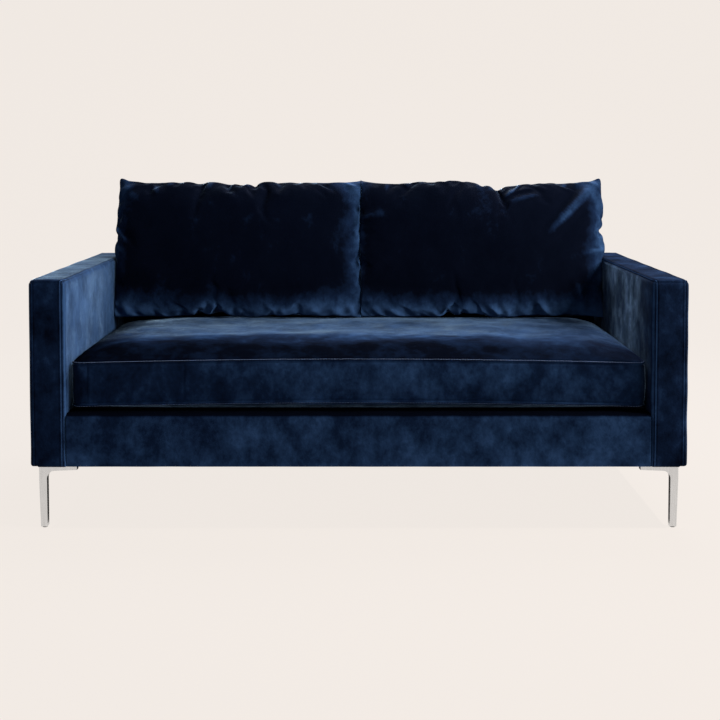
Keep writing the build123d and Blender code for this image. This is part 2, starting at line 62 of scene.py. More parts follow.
def set_up(node, **settings):
    """Settings name a node's properties, or its own input sockets with _ for a space."""
    for name, value in settings.items():
        if hasattr(node, name):
            setattr(node, name, value)
        else:
            node.inputs[name.replace("_", " ")].default_value = value


def add_node(tree, kind, links=None, **settings):
    """One shader node with its settings, and links from other sockets to its inputs."""
    node = tree.nodes.new(kind)
    set_up(node, **settings)
    for name, source in (links or {}).items():
        tree.links.new(source, node.inputs[name])
    return node


def new_material(name):
    """An empty node material, with its tree, its Principled shader and Object coordinates."""
    material = bpy.data.materials.new(name)
    material.use_nodes = True
    tree = material.node_tree
    shader = tree.nodes["Principled BSDF"]
    place = add_node(tree, "ShaderNodeTexCoord").outputs["Object"]
    return material, tree, shader, place


def colour_steps(tree, factor, *stops):
    """Gives the shader its base colour: a colour ramp over factor, from (position, hex) stops."""
    ramp = add_node(tree, "ShaderNodeValToRGB", {"Fac": factor})
    elements = ramp.color_ramp.elements
    between = [elements.new(0.5) for _ in stops[2:]]
    for element, (position, code) in zip([elements[0], *between, elements[-1]], stops):
        element.position, element.color = position, linear(code)
    tree.links.new(ramp.outputs["Color"], tree.nodes["Principled BSDF"].inputs["Base Color"])


def give(nodes, material):
    """Puts one material in every slot of the named CAD nodes."""
    for name in nodes:
        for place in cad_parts[name].material_slots:
            place.material = material


def timber_material():
    """Sawn pine: fine long streaks of darker late wood 4 mm apart, with the saw's faint roughness."""
    material, tree, shader, place = new_material("Sawn pine")
    grain = add_node(tree, "ShaderNodeMapping", {"Vector": place}, Scale=(1.0, 14.0, 14.0))
    rings = add_node(
        tree, "ShaderNodeTexNoise", {"Vector": grain.outputs[0]}, Scale=18.0, Detail=6.0, Distortion=0.6
    )
    colour_steps(tree, rings.outputs["Fac"], (0.30, "c9a368"), (0.55, "d9b988"), (0.75, "a97b45"))
    set_up(shader, Roughness=0.75)
    saw = add_node(tree, "ShaderNodeBump", {"Height": rings.outputs["Fac"]}, Strength=0.3, Distance=0.0006)
    tree.links.new(saw.outputs[0], shader.inputs["Normal"])
    return material


timber = [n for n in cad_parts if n.endswith(("_post", "_rail", "_stretcher", "_blocks"))]
give(timber, timber_material())

# ---------------------------------------------------------------------------------------------------
# Panels. Brown hardboard, 3 mm, stapled to the frame so that the padding has something to lie on.


def hardboard_material():
    """Pressed wood fibre: brown, with 6 mm flecks and a slight shine on its pressed side."""
    material, tree, shader, place = new_material("Pressed hardboard")
    fleck = add_node(tree, "ShaderNodeTexNoise", {"Vector": place}, Scale=160.0, Detail=8.0)
    colour_steps(tree, fleck.outputs["Fac"], (0.35, "5a4028"), (0.65, "805f3f"))
    set_up(shader, Roughness=0.5)
    return material


give([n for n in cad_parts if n.endswith("_panel")], hardboard_material())

# ---------------------------------------------------------------------------------------------------
# Springs, ties and their clips. Sinuous springs bent from hard-drawn wire, oiled black at the mill, on
# zinc-plated clips. The bolts and screws of the frame have the same bright zinc.


def wire_material():
    """Hard-drawn spring wire: dark mill oil over steel, streaked along its length."""
    material, tree, shader, place = new_material("Oiled spring steel")
    smear = add_node(tree, "ShaderNodeTexNoise", {"Vector": place}, Scale=45.0, Detail=5.0)
    colour_steps(tree, smear.outputs["Fac"], (0.35, "2c2c30"), (0.7, "5a5a60"))
    set_up(shader, Metallic=1.0, Roughness=0.42)
    return material


def zinc_material():
    """Bright zinc plate: pale grey with a faint blue and yellow spangle about 8 mm across."""
    material, tree, shader, place = new_material("Bright zinc plate")
    spangle = add_node(tree, "ShaderNodeTexVoronoi", {"Vector": place}, Scale=120.0)
    colour_steps(tree, spangle.outputs["Distance"], (0.0, "a9adb3"), (1.0, "c4c1b4"))
    set_up(shader, Metallic=1.0, Roughness=0.33)
    return material


give(["seat_springs", "tie_wires"], wire_material())
zinc = zinc_material()
give(["spring_clips", "frame_bolts", "leg_screws"], zinc)

# ---------------------------------------------------------------------------------------------------
# Webbing and padding. Elastic webbing woven over the back frame, then polyester fibre and foam, none
# of it seen once the covers are on.


def webbing_material():
    """Jute-coloured elastic webbing, its ribs 3 mm apart."""
    material, tree, shader, place = new_material("Woven elastic webbing")
    ribs = add_node(tree, "ShaderNodeTexWave", {"Vector": place}, Scale=52.0, Distortion=1.2)
    colour_steps(tree, ribs.outputs["Fac"], (0.2, "8c7a58"), (0.8, "bba880"))
    set_up(shader, Roughness=0.9)
    return material


def fibre_material():
    """Bonded polyester fibre: white, matted, with tufts about 10 mm across."""
    material, tree, shader, place = new_material("Bonded polyester fibre")
    tuft = add_node(tree, "ShaderNodeTexNoise", {"Vector": place}, Scale=100.0, Detail=7.0)
    colour_steps(tree, tuft.outputs["Fac"], (0.3, "d8d8d2"), (0.7, "f5f5f1"))
    set_up(shader, Roughness=1.0)
    mat = add_node(tree, "ShaderNodeBump", {"Height": tuft.outputs["Fac"]}, Strength=0.7, Distance=0.003)
    tree.links.new(mat.outputs[0], shader.inputs["Normal"])
    return material


def foam_material():
    """Cut polyurethane foam: cream, pitted with open cells drawn 2 mm across so that they show."""
    material, tree, shader, place = new_material("Cut polyurethane foam")
    cells = add_node(tree, "ShaderNodeTexVoronoi", {"Vector": place}, Scale=480.0)
    colour_steps(tree, cells.outputs["Distance"], (0.1, "cdbf8f"), (0.6, "efe3bd"))
    set_up(shader, Roughness=0.95)
    depth = cells.outputs["Distance"]
    pits = add_node(tree, "ShaderNodeBump", {"Height": depth}, Strength=0.5, Distance=0.001)
    tree.links.new(pits.outputs[0], shader.inputs["Normal"])
    return material


fibre = fibre_material()
foam = foam_material()
give(["back_webbing"], webbing_material())
give([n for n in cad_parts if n.endswith("_padding")] + ["deck_pad"], fibre)

# ---------------------------------------------------------------------------------------------------
# Arms. Each is padded board in a fitted velvet cover: a boxing strip runs up the front and over the
# top, and is sewn to the inner and outer panels with a felled seam and two rows of topstitching.


def velvet_material():
    """Cotton velvet: a dense 2 mm pile, near black when seen end on, that turns pale slate blue where it is
    seen from the side. Its base colour is a ramp of navy blues over patches of random tone, moved paler or
    darker by a tone attribute that holds painted sheen and painted shade. The pile leans: by the pile
    attribute, as it was cut and stroked, and by strokes of the hand in patches 40 to 150 mm across, longer
    up the cloth, that catch the light differently."""
    material, tree, shader, place = new_material("Navy cotton velvet")
    upright = add_node(tree, "ShaderNodeMapping", {"Vector": place}, Scale=(1.0, 1.0, 0.8))
    stroke = add_node(
        tree, "ShaderNodeTexNoise", {"Vector": upright.outputs[0]}, Scale=12.0, Detail=9.0, Roughness=0.72
    )
    tuft = add_node(tree, "ShaderNodeTexNoise", {"Vector": place}, Scale=300.0, Detail=3.0, Roughness=0.7)
    # the tone attribute is added to the ramp's factor: painted sheen where it is above 0, painted shade
    # where it is below
    depth = add_node(tree, "ShaderNodeAttribute", attribute_name="painted_sheen_tone").outputs["Fac"]
    shade = add_node(tree, "ShaderNodeMath", {0: stroke.outputs["Fac"], 1: depth}, operation="ADD")
    blues = (0.28, "010410"), (0.50, "08152b"), (0.64, "142641"), (0.84, "233a5c")
    colour_steps(tree, shade.outputs[0], *blues)
    set_up(
        shader,
        Roughness=0.9,
        Specular_IOR_Level=0.02,
        Sheen_Weight=1.0,
        Sheen_Roughness=0.22,
        Sheen_Tint=linear("99bfe6"),
    )
    # the lean of the pile: the surface's own direction, plus the cut's lean, plus the strokes' lean
    centred = add_node(tree, "ShaderNodeVectorMath", {0: stroke.outputs["Color"]}, operation="SUBTRACT")
    centred.inputs[1].default_value = (0.5, 0.5, 0.5)
    lean = add_node(tree, "ShaderNodeVectorMath", {0: centred.outputs[0]}, operation="SCALE")
    lean.inputs["Scale"].default_value = 0.62
    cut = add_node(tree, "ShaderNodeAttribute", attribute_name="pile")
    both = add_node(
        tree, "ShaderNodeVectorMath", {0: lean.outputs[0], 1: cut.outputs["Vector"]}, operation="ADD"
    )
    normal = add_node(tree, "ShaderNodeNewGeometry").outputs["Normal"]
    leaning = add_node(tree, "ShaderNodeVectorMath", {0: normal, 1: both.outputs[0]}, operation="ADD")
    unit = add_node(tree, "ShaderNodeVectorMath", {0: leaning.outputs[0]}, operation="NORMALIZE")
    # tufts, drawn 3 mm across so that they show
    under = {"Height": tuft.outputs["Fac"], "Normal": unit.outputs[0]}
    pile = add_node(tree, "ShaderNodeBump", under, Strength=0.5, Distance=0.001)
    tree.links.new(pile.outputs[0], shader.inputs["Normal"])
    return material


def thread_material():
    """Bonded polyester thread, a shade paler than the velvet, with a 1 mm twist."""
    material, tree, shader, place = new_material("Slate blue sewing thread")
    twist = add_node(tree, "ShaderNodeTexNoise", {"Vector": place}, Scale=900.0, Detail=2.0)
    colour_steps(tree, twist.outputs["Fac"], (0.3, "53658a"), (0.7, "7688ac"))
    set_up(shader, Roughness=0.75, Specular_IOR_Level=0.2)
    return material


velvet = velvet_material()
thread = thread_material()


def closing_in(low, high, step, fine, seams=()):
    """Positions from low to high that always include the ends and the seams. Their spacing is fine
    there, and grows by a fifth of the distance from the nearest of them up to step."""
    keys = sorted({low, high, *seams})
    rows = [np.array([low])]
    for start, end in zip(keys, keys[1:]):
        t = np.linspace(start, end, 400)
        gap = np.minimum(t - start, end - t)
        spacing = np.minimum(step, fine + 0.2 * gap)
        count = np.concatenate([[0], np.cumsum((t[1] - t[0]) / spacing[1:])])
        whole = max(1, int(round(count[-1])))
        rows.append(np.interp(np.arange(1, whole + 1) * count[-1] / whole, count, t))
    return np.concatenate(rows)


def skin(xs, ys, zs):
    """The skin of a lattice: its points with an outermost index, and the quads between neighbours on
    its six sides, wound to face outwards."""
    outer = np.zeros((len(xs), len(ys), len(zs)), bool)
    outer[[0, -1]] = outer[:, [0, -1]] = outer[:, :, [0, -1]] = True
    number = np.full(outer.shape, -1)
    number[outer] = np.arange(outer.sum())
    i, j, k = np.nonzero(outer)
    sides = (
        number[0],
        number[-1][::-1],
        number[:, 0][::-1],
        number[:, -1],
        number[:, :, 0],
        number[:, :, -1][::-1],
    )
    quads = [np.stack([s[:-1, :-1], s[:-1, 1:], s[1:, 1:], s[1:, :-1]], -1).reshape(-1, 4) for s in sides]
    return np.stack([xs[i], ys[j], zs[k]], 1), np.concatenate(quads)


def rounded(points, low, high, radius, square_low=(0, 0, 0), square_high=(0, 0, 0)):
    """Points on a box with its edges rounded: each is drawn to the box that is smaller by the radius, then
    sent out by the radius along the same line, which is also the outward normal. A side marked 1 in
    square_low or square_high stays flat to its corners."""
    least = low + radius * (1 - np.array(square_low))
    most = high - radius * (1 - np.array(square_high))
    core = np.clip(points, least, most)
    out = points - core
    out /= np.maximum(np.linalg.norm(out, axis=1, keepdims=True), 1e-9)
    return core + radius * out, out


def swells(points, size, height, seed):
    """Soft unevenness: the sum of twelve sine waves about size long, in seeded directions and phases."""
    rng = np.random.default_rng(seed)
    waves = rng.normal(size=(12, 3))
    lengths = size * rng.uniform(0.7, 1.6, (12, 1))
    waves *= 2 * math.pi / (lengths * np.linalg.norm(waves, axis=1, keepdims=True))
    return height * 0.4 * np.sin(points @ waves.T + rng.uniform(0, 2 * math.pi, 12)).sum(1) / math.sqrt(6)


def pinch(distance, width):
    """How deep a seam is pulled in, from 1 on its line to 0 a few widths away: a bell curve."""
    return np.exp(-((distance / width) ** 2))


def new_object(name, points, quads, material=None):
    """A smooth mesh object of the points and quads, in the scene."""
    mesh = bpy.data.meshes.new(name)
    mesh.from_pydata(np.asarray(points).tolist(), [], np.asarray(quads).tolist())
    mesh.polygons.foreach_set("use_smooth", [True] * len(mesh.polygons))
    if material:
        mesh.materials.append(material)
    mesh.update()
    made = bpy.data.objects.new(name, mesh)
    bpy.context.scene.collection.objects.link(made)
    return made


def make_piece(name, points, quads, material, body, replaced=()):
    """A piece of the sofa, on its body and in place of its CAD nodes."""
    piece = new_object(name, points, quads, material)
    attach(piece, body)
    if replaced:
        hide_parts(*replaced)
    return piece


def lay_pile(piece, lean=(0.0, 0.0, 0.0), painted_light=0.0):
    """Says which way a velvet piece's pile leans at each point, as a part of the outward direction, and how
    much paler, or darker below 0, its base colour is painted: painted sheen and painted shade."""
    count = len(piece.data.vertices)
    lean = np.broadcast_to(np.asarray(lean, float), (count, 3))
    painted_light = np.broadcast_to(np.asarray(painted_light, float), count)
    piece.data.attributes.new("pile", "FLOAT_VECTOR", "POINT").data.foreach_set("vector", lean.ravel())
    piece.data.attributes.new("painted_sheen_tone", "FLOAT", "POINT").data.foreach_set("value", painted_light.copy())


def along(path, spacing):
    """Points a spacing apart along a path of points, and the unit direction at each."""
    steps = np.linalg.norm(np.diff(path, axis=0), axis=1)
    travel = np.concatenate([[0], np.cumsum(steps)])
    at = np.arange(spacing / 2, travel[-1], spacing)
    centres = np.stack([np.interp(at, travel, path[:, k]) for k in range(3)], 1)
    ahead = np.stack([np.interp(at + spacing / 4, travel, path[:, k]) for k in range(3)], 1)
    behind = np.stack([np.interp(at - spacing / 4, travel, path[:, k]) for k in range(3)], 1)
    way = ahead - behind
    return centres, way / np.linalg.norm(way, axis=1, keepdims=True)


def stitches(rows, pitch=0.0065, length=0.0048, thick=0.0011):
    """Rows of stitches on paths, each given with its outward direction. A stitch is a small closed capsule,
    a lattice skin drawn to a ball and stretched along the path, half sunk in the cloth."""
    unit, faces = skin(np.linspace(-1, 1, 5), np.linspace(-1, 1, 3), np.linspace(-1, 1, 3))
    unit /= np.linalg.norm(unit, axis=1, keepdims=True)
    points, quads, used = [], [], 0
    for path, outward in rows:
        centres, way = along(path, pitch)
        out = np.broadcast_to(outward, centres.shape)
        side = np.cross(way, out)
        side /= np.linalg.norm(side, axis=1, keepdims=True)
        out = np.cross(side, way)
        shape = (
            centres[:, None]
            + unit[None, :, :1] * way[:, None] * length / 2
            + unit[None, :, 1:2] * side[:, None] * thick / 2
            + unit[None, :, 2:] * out[:, None] * thick / 2
        )
        points.append(shape.reshape(-1, 3))
        starts = used + np.arange(len(centres)) * len(unit)
        quads.append((faces[None] + starts[:, None, None]).reshape(-1, 4))
        used += len(centres) * len(unit)
    return np.concatenate(points), np.concatenate(quads)


arm_edge = 0.012  # radius of the arms' rounded edges
arm_seam = 0.0105  # from the arm's inner and outer sides to the seams on its front
arm_fell = 0.003575  # the two rows of topstitching stand this far apart
arm_seam_top = 0.0045  # the same seams lie nearer the edge along the top
arm_topstitch = 0.0022  # from a seam on the front to the first row of topstitching
for side, sign in (("left", -1), ("right", 1)):
    low, high = np.array(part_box(f"{side}_arm_cover"))
    low[1] += 0.0003
    seams_x = (low[0] + arm_seam, high[0] - arm_seam)
    points, quads = skin(
        closing_in(low[0], high[0], 0.006, 0.0009, seams_x),
        closing_in(low[1], high[1], 0.010, 0.0018),
        closing_in(low[2], high[2], 0.008, 0.0018),
    )
    x, y, z = points.T
    middle = (low[0] + high[0]) / 2
    # the seams run closer to the edges along the top than up the front
    to_top = np.clip((y - low[1]) / 0.03, 0, 1)
    reach = np.exp(-(((np.abs(x - middle) - (high[0] - low[0]) / 2 + arm_seam) / 0.006) ** 2))
    shift = np.sign(x - middle) * (arm_seam - arm_seam_top) * reach * to_top
    seam_gap = np.minimum(np.abs(x - seams_x[0]), np.abs(x - seams_x[1]))
    on_strip = (np.abs(z - high[2]) < 1e-6) | (np.abs(y - low[1]) < 1e-6)
    moved = points.copy()
    moved[:, 0] += np.where(on_strip, shift, 0)
    # the foot is square inside, where the rail meets it, and turned to a smaller radius outside
    radius = arm_edge - 0.004 * np.clip(1 - (z[:, None] - low[2]) / 0.04, 0, 1)
    square = (sign * (x - middle) < (high[0] - low[0]) / 2 - 0.020)[:, None] * [0, 0, 1]
    place, out = rounded(moved, low, high, radius, square)
    across = np.clip(1 - (2 * (x - middle) / (high[0] - low[0])) ** 2, 0, 1)
    along_y = np.clip(1 - (2 * (y - low[1]) / (high[1] - low[1]) - 1) ** 4, 0, 1)
    along_z = np.clip(1 - (2 * (z - low[2]) / (high[2] - low[2]) - 1) ** 4, 0, 1)
    inner = np.sign(x - middle) != sign
    crown = np.where(
        np.abs(out[:, 0]) > 0.7,
        np.where(inner, 0.0012, 0.0035) * along_y * along_z,
        np.where(out[:, 2] > 0.7, 0.0030 * across**0.5, 0.0028 * across**0.5 * along_z),
    )
    inside = inner & (np.abs(out[:, 0]) > 0.7)
    loose = np.maximum(swells(place, 0.14, 0.0010, 3 + sign), -0.0003) * np.where(inside, 0.5, 1)
    sewn = 0.0005 * pinch(seam_gap - 0.0035, 0.002) - 0.0016 * pinch(seam_gap, 0.0012)
    sewn = np.where(on_strip, sewn, 0)
    place += out * (np.where(out[:, 2] < -0.7, 0, crown + loose) + sewn)[:, None]
    covered = [f"{side}_arm_cover"]
    arm = make_piece(f"{side}_arm_velvet", place, quads, velvet, "sofa_frame", covered)
    # the right arm's inner face is stroked towards the front, most of all near its edge
    stroked = np.where(inside, 0.05 + 0.22 * np.exp((low[1] - y) / 0.12), 0)
    # painted highlight along each seam on the boxing strip, with painted shade in the hollow beside it, and
    # a painted highlight down the inner front edge
    pale = np.where(inner, 0.50, 0.20) * pinch(seam_gap, 0.0013) - 0.10 * pinch(seam_gap - 0.0040, 0.0020)
    pale = np.where(on_strip, pale, 0)
    pale += 0.20 * (inner & (out[:, 1] < -0.4) & (np.abs(out[:, 0]) > 0.4))
    # painted light: the right arm is painted a little darker all over; the left arm's inner face is painted
    # paler, painted sheen, and its other faces a little darker, painted shade
    if side == "right":
        stroked = np.where(out[:, 2] > 0.7, 0.45, stroked)
        lay_pile(arm, stroked[:, None] * [0.0, -1.0, 0.0], pale - 0.03)
    else:
        lay_pile(arm, painted_light=pale + np.where(stroked > 0, 0.18, -0.04))

    rows = []
    lattice = np.round(points, 7)
    for seam_x, inward in ((seams_x[0], 1), (seams_x[1], -1)):
        on_line = np.isclose(lattice[:, 0], seam_x, atol=1e-6)
        front = on_line & (np.abs(y - low[1]) < 1e-6)
        up = place[front][np.argsort(z[front])]
        for offset in (arm_topstitch, arm_topstitch + arm_fell):
            rows.append((up + np.array([inward * offset, -0.0004, 0]), np.array([0.0, -1, 0])))
        top = on_line & (np.abs(z - high[2]) < 1e-6) & (y > low[1] + 0.012)
        back = place[top][np.argsort(y[top])]
        rows.append((back + np.array([inward * 0.0030, 0, 0.0003]), np.array([0.0, 0, 1])))
    points, quads = stitches(rows)
    make_piece(f"{side}_arm_topstitching", points, quads, thread, "sofa_frame")

# ---------------------------------------------------------------------------------------------------
# Front rail. A padded board between the arms in one piece of velvet, pulled over the top on to the deck
# and under the body, where it is stapled.

low, high = np.array(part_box("front_rail_cover"))
points, quads = skin(
    closing_in(low[0], high[0], 0.012, 0.003),
    closing_in(low[1], high[1], 0.008, 0.002),
    closing_in(low[2], high[2], 0.006, 0.002),
)
place, out = rounded(points, low, high, arm_edge, (1, 0, 1), (1, 1, 0))
# the cover is drawn tight at its two ends, and dips a little where it meets the arms
end_gap = high[0] - np.abs(points[:, 0])
place[:, 2] -= np.where(out[:, 2] > 0.2, 0.0012 * np.exp(-end_gap / 0.03), 0)
face = np.clip(1 - (2 * (points[:, 2] - low[2]) / (high[2] - low[2]) - 1) ** 2, 0, 1)
bulge = np.where(out[:, 1] < -0.5, 0.0018 * face, 0)
place += out * (bulge + np.where(out[:, 2] > -0.5, swells(place, 0.11, 0.0007, 11), 0))[:, None]
place[:, 0] = np.clip(place[:, 0], low[0], high[0])
rail = make_piece("front_rail_velvet", place, quads, velvet, "sofa_frame", ["front_rail_cover"])
# the pile of the turned top edge points forwards and down; that edge is painted darker, painted shade, and
# the rest is painted paler towards the right and towards the bottom, painted sheen
turned = np.clip((place[:, 2] - high[2] + 0.009) / 0.006, 0, 1)
paler = 0.10 + 0.07 * place[:, 0] + 0.5 * (low[2] + 0.07 - place[:, 2])
lay_pile(rail, turned[:, None] * [0.0, -1.6, -0.5], paler - 0.5 * turned)

# ---------------------------------------------------------------------------------------------------
# Deck. A plain navy lining cloth over a fibre pad, sewn to the front rail's velvet. The seat cushion
# hides it.


def lining_material():
    """Plain-woven navy lining, its threads drawn 2 mm apart so that they show."""
    material, tree, shader, place = new_material("Navy woven lining")
    weave = add_node(tree, "ShaderNodeTexChecker", {"Vector": place}, Scale=500.0)
    set_up(weave, Color1=linear("141d33"), Color2=linear("1f2b47"))
    tree.links.new(weave.outputs["Color"], shader.inputs["Base Color"])
    set_up(shader, Roughness=0.8)
    raised = {"Height": weave.outputs["Fac"]}
    threads = add_node(tree, "ShaderNodeBump", raised, Strength=0.4, Distance=0.0005)
    tree.links.new(threads.outputs[0], shader.inputs["Normal"])
    return material


lining = lining_material()
low, high = np.array(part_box("deck_cloth"))
points, quads = skin(
    closing_in(low[0], high[0], 0.015, 0.004),
    closing_in(low[1], high[1], 0.015, 0.004),
    np.array([low[2], high[2]]),
)
edge = np.minimum(high[0] - np.abs(points[:, 0]), np.minimum(points[:, 1] - low[1], high[1] - points[:, 1]))
points[:, 2] += 0.0003 * (1 - np.exp(-edge / 0.05)) * (1 + swells(points, 0.16, 0.6, 21))
deck = make_piece("deck_lining", points, quads, lining, "sofa_frame", ["deck_cloth"])

# ---------------------------------------------------------------------------------------------------
# Back. The inside back is padded velvet over webbing, pulled over the top rail. The outside back is a
# plain panel of velvet, blind tacked along the top and pulled round the frame's edges.

low, high = np.array(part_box("back_inner_cover"))
points, quads = skin(
    closing_in(low[0], high[0], 0.012, 0.003),
    closing_in(low[1], high[1], 0.008, 0.002),
    closing_in(low[2], high[2], 0.010, 0.002),
)
place, out = rounded(points, low, high, arm_edge, (1, 0, 1), (1, 1, 0))
face = np.clip(1 - (points[:, 0] / high[0]) ** 6, 0, 1)
crown = np.where(out[:, 2] > 0.5, 0.0015 * face, np.where(out[:, 1] < -0.5, 0.0008 * face, 0))
even = np.where((out[:, 2] > 0.3) | (out[:, 1] < -0.3), swells(place, 0.15, 0.0006, 31), 0)
place += out * (crown + even)[:, None]
back = make_piece("inside_back_velvet", place, quads, velvet, "sofa_frame", ["back_inner_cover"])

low, high = np.array(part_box("outside_back_cover"))
points, quads = skin(
    closing_in(low[0], high[0], 0.014, 0.002, (low[0] + 0.006, high[0] - 0.006)),
    np.array([low[1], high[1]]),
    closing_in(low[2], high[2], 0.014, 0.002, (high[2] - 0.006,)),
)
edge = np.minimum(high[0] - np.abs(points[:, 0]), np.minimum(high[2] - points[:, 2], points[:, 2] - low[2]))
outer = points[:, 1] > low[1] + 1e-6
fold = np.clip(edge / 0.004, 0, 1)
points[:, 1] += np.where(outer, 0.0022 * fold * (2 - fold) - 0.0008 * pinch(edge - 0.009, 0.002), 0)
points[:, 1] += np.where(outer, (1 - np.exp(-edge / 0.06)) * swells(points, 0.20, 0.0016, 37), 0)
covered = ["outside_back_cover"]
outside = make_piece("outside_back_velvet", points, quads, velvet, "sofa_frame", covered)

# ---------------------------------------------------------------------------------------------------
# Dust cover. Black spun-bonded cloth under the body, its edge turned in and stapled every 45 mm.


def dust_material():
    """Spun-bonded polypropylene: black, with pressed dots drawn 3 mm apart."""
    material, tree, shader, place = new_material("Black spun-bonded cloth")
    dots = add_node(tree, "ShaderNodeTexVoronoi", {"Vector": place}, Scale=330.0)
    colour_steps(tree, dots.outputs["Distance"], (0.2, "090909"), (0.6, "1b1b1b"))
    set_up(shader, Roughness=0.8)
    raised = {"Height": dots.outputs["Distance"]}
    pressed = add_node(tree, "ShaderNodeBump", raised, Strength=0.4, Distance=0.0006)
    tree.links.new(pressed.outputs[0], shader.inputs["Normal"])
    return material


low, high = np.array(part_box("dust_cover"))
points, quads = skin(
    closing_in(low[0], high[0], 0.018, 0.003),
    closing_in(low[1], high[1], 0.018, 0.003),
    np.array([low[2], high[2]]),
)
edge = np.minimum(high[0] - np.abs(points[:, 0]), np.minimum(points[:, 1] - low[1], high[1] - points[:, 1]))
slack = np.clip(1 - np.exp(-np.maximum(edge - 0.10, 0) / 0.08), 0, 1)
points[:, 2] += slack * (0.004 - np.abs(swells(points, 0.22, 0.0035, 43))) - slack * 0.006
make_piece("dust_cover_cloth", points, quads, dust_material(), "sofa_frame", ["dust_cover"])
inset = 0.012
x0, x1, y0, y1 = low[0] + inset, high[0] - inset, low[1] + inset, high[1] - inset
loop = np.array([[x0, y0], [x1, y0], [x1, y1], [x0, y1], [x0, y0]])
edges = [np.column_stack([loop[i : i + 2], [low[2]] * 2]) for i in range(4)]
points, quads = stitches([(e, np.array([0.0, 0, -1])) for e in edges], 0.045, 0.011, 0.0012)
make_piece("dust_cover_staples", points, quads, zinc, "sofa_frame")

# ---------------------------------------------------------------------------------------------------
# Legs. Steel bar bent and welded to an L with a curved inner corner, ground smooth and plated with
# satin nickel, on nylon glides.


def nickel_material():
    """Satin nickel plate: pale grey, brushed, so that highlights stretch across the strokes."""
    material, tree, shader, place = new_material("Satin nickel plate")
    brushed = add_node(tree, "ShaderNodeMapping", {"Vector": place}, Scale=(900.0, 900.0, 18.0))
    strokes = add_node(tree, "ShaderNodeTexNoise", {"Vector": brushed.outputs[0]}, Scale=1.0, Detail=4.0)
    colour_steps(tree, strokes.outputs["Fac"], (0.3, "cccecf"), (0.7, "dfe1e3"))
    grey = strokes.outputs["Fac"]
    rough = add_node(tree, "ShaderNodeMapRange", {"Value": grey}, To_Min=0.18, To_Max=0.30)
    tree.links.new(rough.outputs[0], shader.inputs["Roughness"])
    set_up(shader, Metallic=1.0)
    scratch = add_node(tree, "ShaderNodeBump", {"Height": grey}, Strength=0.15, Distance=0.0003)
    tree.links.new(scratch.outputs[0], shader.inputs["Normal"])
    return material


def nylon_material():
    """Moulded black nylon, slightly scuffed where it meets the floor."""
    material, tree, shader, place = new_material("Moulded black nylon")
    scuff = add_node(tree, "ShaderNodeTexNoise", {"Vector": place}, Scale=700.0, Detail=4.0)
    colour_steps(tree, scuff.outputs["Fac"], (0.4, "121212"), (0.75, "303030"))
    set_up(shader, Roughness=0.5)
    return material


give([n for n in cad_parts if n.endswith("_leg")], nickel_material())
give(["floor_glides"], nylon_material())

# ---------------------------------------------------------------------------------------------------
# Seat cushion. One bench cushion: a foam core in fibre, in a boxed velvet cover. The top and bottom panels
# are sewn to a boxing strip with topstitched seams, and the strip is joined near the left front corner.

low, high = np.array(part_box("seat_cushion_cover"))
seat_half = high[0] - 0.0040
seat_front, seat_rear = low[1], high[1]
seat_middle = (seat_front + seat_rear) / 2
seat_deep = (seat_rear - seat_front) / 2
lower_seam, upper_seam = low[2] + 0.018, low[2] + 0.126
seat_crown = high[2] - upper_seam
seat_corner = 0.030
strip_join = -seat_half + 0.043  # where the boxing strip's two ends are sewn together
strip_crease = -seat_half + 0.292


def seat_shape(inset, step, fine):
    """The cushion's closed form, drawn in by inset. A lattice skin: the top is lifted from the upper seam
    by the crown times (1 - u^9)^0.5 times a quarter sine wave 125 mm long to the power 0.8, the underside
    falls the same way to the deck, the boxing bulges between its seams by a half wave, except at the back
    where the zip lies flat, and both seams arch by 10 mm (1 - u^2) less 4 mm."""
    half, deep = seat_half - inset, seat_deep - inset
    grid_x = closing_in(-half, half, step, fine, (strip_join, strip_crease) if inset == 0 else ())
    grid_y = closing_in(-deep, deep, step, fine)
    grid_z = closing_in(lower_seam + inset, upper_seam - inset, step * 0.6, fine)
    points, quads = skin(grid_x, grid_y, grid_z)
    x, y, z = points.T.copy()
    u, v = np.abs(x) / half, np.abs(y) / deep
    top = np.isclose(z, grid_z[-1])
    bottom = np.isclose(z, grid_z[0])
    # in plan, the corners are rounded
    flat = np.stack([x, y], 1)
    limit = np.array([half - seat_corner, deep - seat_corner])
    core = np.clip(flat, -limit, limit)
    away = flat - core
    length = np.maximum(np.linalg.norm(away, axis=1), 1e-9)
    box_reach = np.abs(away).max(1)
    turned = core + away * (box_reach / length)[:, None]
    side_out = np.where(box_reach[:, None] > 1e-9, away / length[:, None], 0)
    on_wall = (np.isclose(u, 1)) | (np.isclose(v, 1))
    w = np.clip((z - grid_z[0]) / (grid_z[-1] - grid_z[0]), 0, 1)
    wave = np.sin(math.pi * w)
    belly = np.where(np.isclose(v, 1), np.where(y < 0, 0.007 * (1 - u**10), 0), 0.0050 * (1 - v**6)) * wave
    turned += side_out * np.where(on_wall, belly, 0)[:, None]
    rise = np.sin(math.pi / 2 * np.clip((1 - v) * deep / 0.125, 0, 1)) ** 0.8
    lift = np.sqrt(np.clip(1 - u**9, 0, 1)) * rise
    arch = 0.010 * (1 - u**2) - 0.004
    z = z + arch + np.where(top, (seat_crown - arch) * lift, 0)
    z = z - np.where(bottom, (lower_seam + arch - low[2]) * np.minimum(lift * 1.6, 1), 0)
    place = np.column_stack([turned[:, 0], turned[:, 1] + seat_middle, z])
    return place, quads, points, side_out, top, bottom


place, quads, lattice, side_out, top, bottom = seat_shape(0, 0.010, 0.0013)
x, y, _ = lattice.T
edge = np.minimum(seat_half - np.abs(x), seat_deep - np.abs(y))
w = (lattice[:, 2] - lower_seam) / (upper_seam - lower_seam)
front_face = np.isclose(y, -seat_deep)
